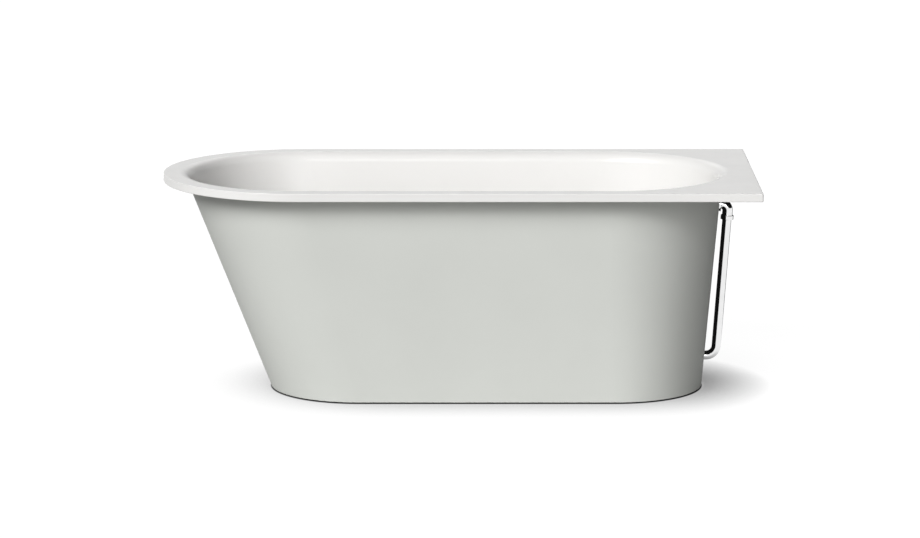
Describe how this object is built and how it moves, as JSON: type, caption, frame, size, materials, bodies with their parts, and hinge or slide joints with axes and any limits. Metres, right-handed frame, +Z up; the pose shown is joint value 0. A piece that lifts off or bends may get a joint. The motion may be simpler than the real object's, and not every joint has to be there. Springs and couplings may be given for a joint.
{
  "type": "corner bathtub",
  "caption": "Corner bathtub with flat rim, round head end, square foot end, oval tub, tapered skirt, outside chrome overflow pipe, push-plug waste, trap and levelling feet.",
  "frame": {"origin": "on the floor, below the middle of the rim's length and width", "axes": "+X from the round head end to the square foot end, +Y to the wall behind, +Z up"},
  "size_m": [1.6, 0.75, 0.594],
  "materials": {
    "white_shell": "gloss",
    "skirt_colour": "matte",
    "chrome_fittings": "polished",
    "zinc_steel": "satin",
    "board": "matte",
    "black_plastic": "matte",
    "white_plastic": "satin",
    "seal_rubber": "matte"
  },
  "bodies": {
    "tub": {"bath_shell": "white_shell", "outer_skirt": "skirt_colour", "overflow_cover": "chrome_fittings", "overflow_screw": "chrome_fittings", "overflow_elbow": "chrome_fittings", "overflow_ring": "chrome_fittings", "overflow_nut": "chrome_fittings", "overflow_pipe": "chrome_fittings", "waste_flange": "chrome_fittings", "head_rail": "zinc_steel", "foot_rail": "zinc_steel", "rail_screws": "zinc_steel", "captive_nuts": "zinc_steel", "lock_nuts": "zinc_steel", "base_board": "board", "rail_end_caps": "black_plastic", "plug_cartridge": "black_plastic", "waste_nut": "white_plastic", "trap_body": "white_plastic", "trap_nut": "white_plastic", "outlet_pipe": "white_plastic", "outlet_nut": "white_plastic", "inlet_nut": "white_plastic", "waste_top_seal": "seal_rubber", "waste_under_seal": "seal_rubber", "trap_seal": "seal_rubber", "outlet_seal": "seal_rubber", "overflow_gasket": "seal_rubber", "overflow_seal": "seal_rubber", "pipe_grommet": "seal_rubber", "inlet_seal": "seal_rubber"},
    "plug": {"waste_plug": "chrome_fittings", "plug_seal": "seal_rubber"},
    "foot_front_head": {"pad_front_head": "black_plastic"},
    "spindle_front_head": {"rod_front_head": "zinc_steel"},
    "foot_back_head": {"pad_back_head": "black_plastic"},
    "spindle_back_head": {"rod_back_head": "zinc_steel"},
    "foot_front_foot": {"pad_front_foot": "black_plastic"},
    "spindle_front_foot": {"rod_front_foot": "zinc_steel"},
    "foot_back_foot": {"pad_back_foot": "black_plastic"},
    "spindle_back_foot": {"rod_back_foot": "zinc_steel"}
  },
  "joints": [
    {"name": "plug_lift", "type": "slide", "parent": "tub", "child": "plug", "axis": [0, 0, 1], "range_m": [0, 0.01]},
    {"name": "height_front_head", "type": "slide", "parent": "tub", "child": "foot_front_head", "axis": [0, 0, -1], "range_m": [-0.003, 0.012]},
    {"name": "turn_front_head", "type": "hinge", "parent": "foot_front_head", "child": "spindle_front_head", "pos_m": [-0.28, -0.1916, 0.06], "axis": [0, 0, -1], "range_deg": [-620, 2475]},
    {"name": "height_back_head", "type": "slide", "parent": "tub", "child": "foot_back_head", "axis": [0, 0, -1], "range_m": [-0.003, 0.012]},
    {"name": "turn_back_head", "type": "hinge", "parent": "foot_back_head", "child": "spindle_back_head", "pos_m": [-0.28, 0.1916, 0.06], "axis": [0, 0, -1], "range_deg": [-620, 2475]},
    {"name": "height_front_foot", "type": "slide", "parent": "tub", "child": "foot_front_foot", "axis": [0, 0, -1], "range_m": [-0.003, 0.012]},
    {"name": "turn_front_foot", "type": "hinge", "parent": "foot_front_foot", "child": "spindle_front_foot", "pos_m": [0.34, -0.1916, 0.06], "axis": [0, 0, -1], "range_deg": [-620, 2475]},
    {"name": "height_back_foot", "type": "slide", "parent": "tub", "child": "foot_back_foot", "axis": [0, 0, -1], "range_m": [-0.003, 0.012]},
    {"name": "turn_back_foot", "type": "hinge", "parent": "foot_back_foot", "child": "spindle_back_foot", "pos_m": [0.34, 0.1916, 0.06], "axis": [0, 0, -1], "range_deg": [-620, 2475]}
  ],
  "couplings": [
    {"joint": "turn_front_head", "follows": "height_front_head", "rad_per_m": 3590.4},
    {"joint": "turn_back_head", "follows": "height_back_head", "rad_per_m": 3590.4},
    {"joint": "turn_front_foot", "follows": "height_front_foot", "rad_per_m": 3590.4},
    {"joint": "turn_back_foot", "follows": "height_back_foot", "rad_per_m": 3590.4}
  ]
}
